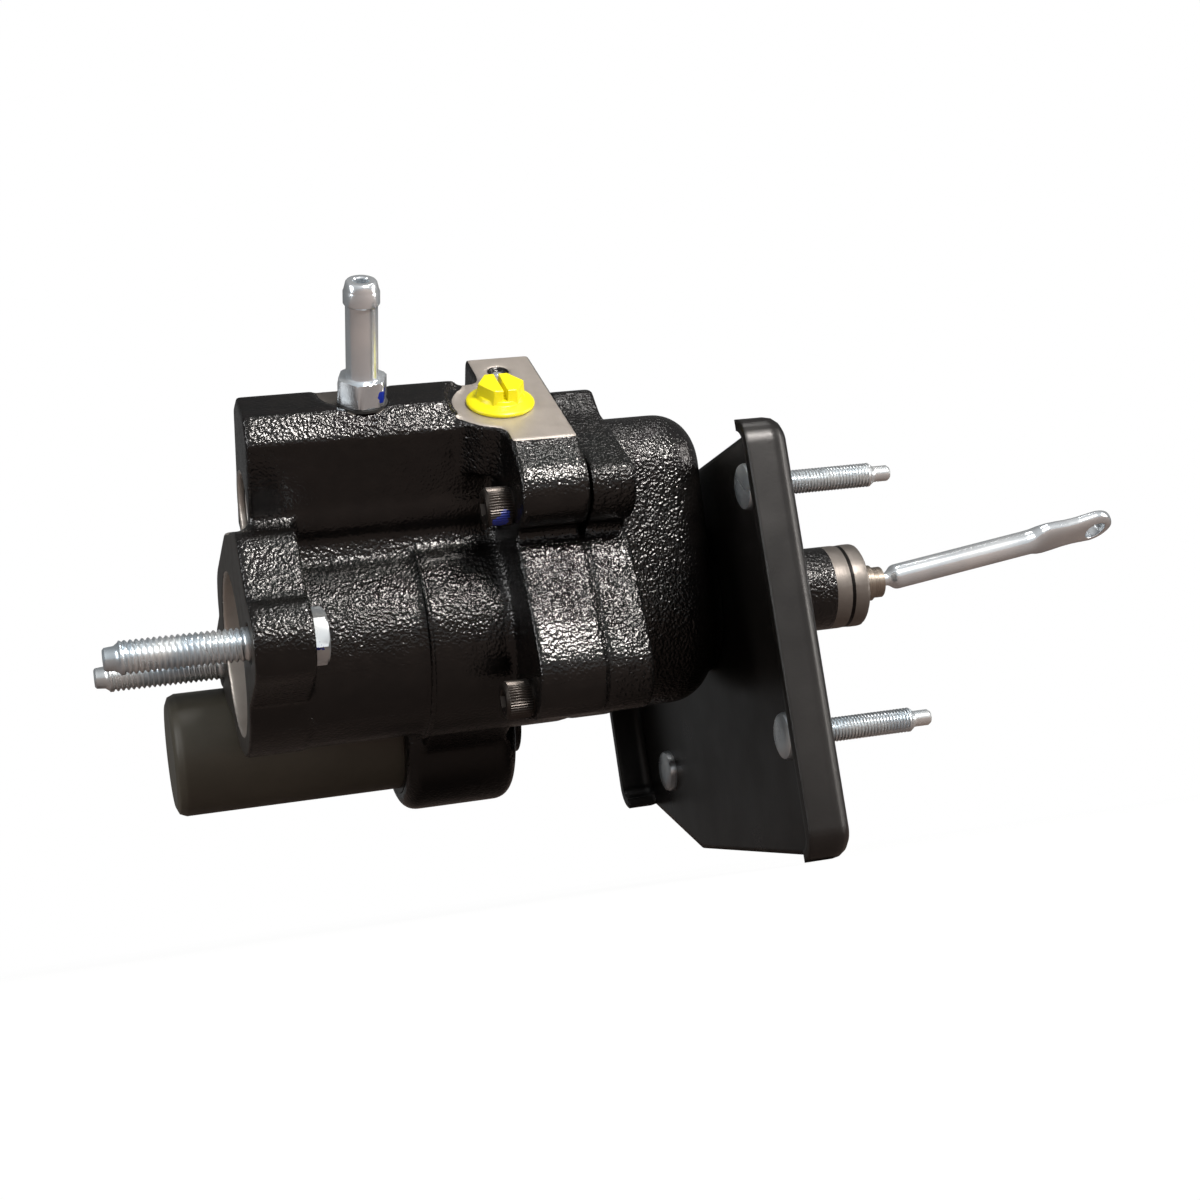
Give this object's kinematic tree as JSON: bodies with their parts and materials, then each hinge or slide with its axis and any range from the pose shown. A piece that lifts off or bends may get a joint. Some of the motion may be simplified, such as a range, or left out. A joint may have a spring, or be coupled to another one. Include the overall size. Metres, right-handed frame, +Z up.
{
  "type": "hydraulic brake booster",
  "caption": "Hydraulic brake booster: lobed black casting with power piston and spool valve, pressed firewall bracket, pedal push rod, hose barb and gas accumulator can.",
  "frame": {"origin": "centre of the master cylinder mounting face, on the axis of the power piston", "axes": "-X points forward along the master cylinder bolts, +X rearward to the firewall and pedal, +Z up, -Y the side with the hose barb"},
  "size_m": [0.3307, 0.176, 0.1783],
  "materials": {
    "black_paint": "gloss",
    "satin_black": "satin",
    "can_paint": "satin",
    "rubber": "matt",
    "black_oxide": "satin",
    "zinc": "satin",
    "bright_steel": "gloss",
    "bare_iron": "machined",
    "aluminium": "satin",
    "spring_steel": "satin",
    "yellow_plastic": "satin"
  },
  "bodies": {
    "casing": {"housing": "black_paint", "cover": "black_paint", "cover_seal": "rubber", "cover_screws": "black_oxide", "mount_bolts": "zinc", "bracket": "satin_black", "bracket_nut": "black_oxide", "firewall_studs": "zinc", "hose_barb": "bright_steel", "barb_seal": "rubber", "port_plug": "yellow_plastic", "passage_ball": "bright_steel", "accumulator_can": "can_paint", "accumulator_ring": "black_oxide", "accumulator_plug": "black_paint", "spool_sleeve": "bright_steel", "spool_end_plug": "bright_steel", "spool_plug_ring": "black_oxide", "spring_retainer": "zinc", "retainer_ring": "black_oxide", "return_spring": "spring_steel", "spool_spring": "spring_steel"},
    "power_piston": {"power_piston": "bare_iron", "power_piston_seal": "rubber", "lever_pin": "bright_steel", "output_rod": "bright_steel"},
    "input_piston": {"input_piston": "bare_iron", "input_seal": "rubber"},
    "pedal_rod": {"pedal_rod": "bright_steel"},
    "spool_valve": {"spool_valve": "bright_steel", "spool_pin": "bright_steel"},
    "lever": {"lever": "bare_iron"},
    "accumulator_piston": {"accumulator_piston": "aluminium", "piston_seal_ring": "rubber"}
  },
  "joints": [
    {"name": "piston_stroke", "type": "slide", "parent": "casing", "child": "power_piston", "axis": [-1, 0, 0], "range_m": [0, 0.03], "stiffness_N_per_m": 1500, "springref_m": -0.03, "deforming": ["return_spring"]},
    {"name": "input_stroke", "type": "slide", "parent": "casing", "child": "input_piston", "axis": [-1, 0, 0], "range_m": [0, 0.03]},
    {"name": "spool_shift", "type": "slide", "parent": "casing", "child": "spool_valve", "axis": [-1, 0, 0], "range_m": [0, 0.0015], "deforming": ["spool_spring"]},
    {"name": "lever_swing", "type": "hinge", "parent": "spool_valve", "child": "lever", "pos_m": [0.1094, -0.01646, 0.03973], "axis": [0, 0.9239, 0.3827], "range_deg": [0, 36.66]},
    {"name": "pedal_rod_tilt", "type": "hinge", "parent": "input_piston", "child": "pedal_rod", "pos_m": [0.2034, 0, 0], "axis": [0, 1, 0], "range_deg": [-3, 14]},
    {"name": "accumulator_charge", "type": "slide", "parent": "casing", "child": "accumulator_piston", "axis": [-1, 0, 0], "range_m": [0, 0.035], "stiffness_N_per_m": 600, "springref_m": -0.01}
  ],
  "couplings": [
    {"joint": "input_stroke", "follows": "piston_stroke", "ratio": 1},
    {"joint": "spool_shift", "follows": "piston_stroke", "ratio": 0.05},
    {"joint": "lever_swing", "follows": "piston_stroke", "rad_per_m": 21.328}
  ]
}
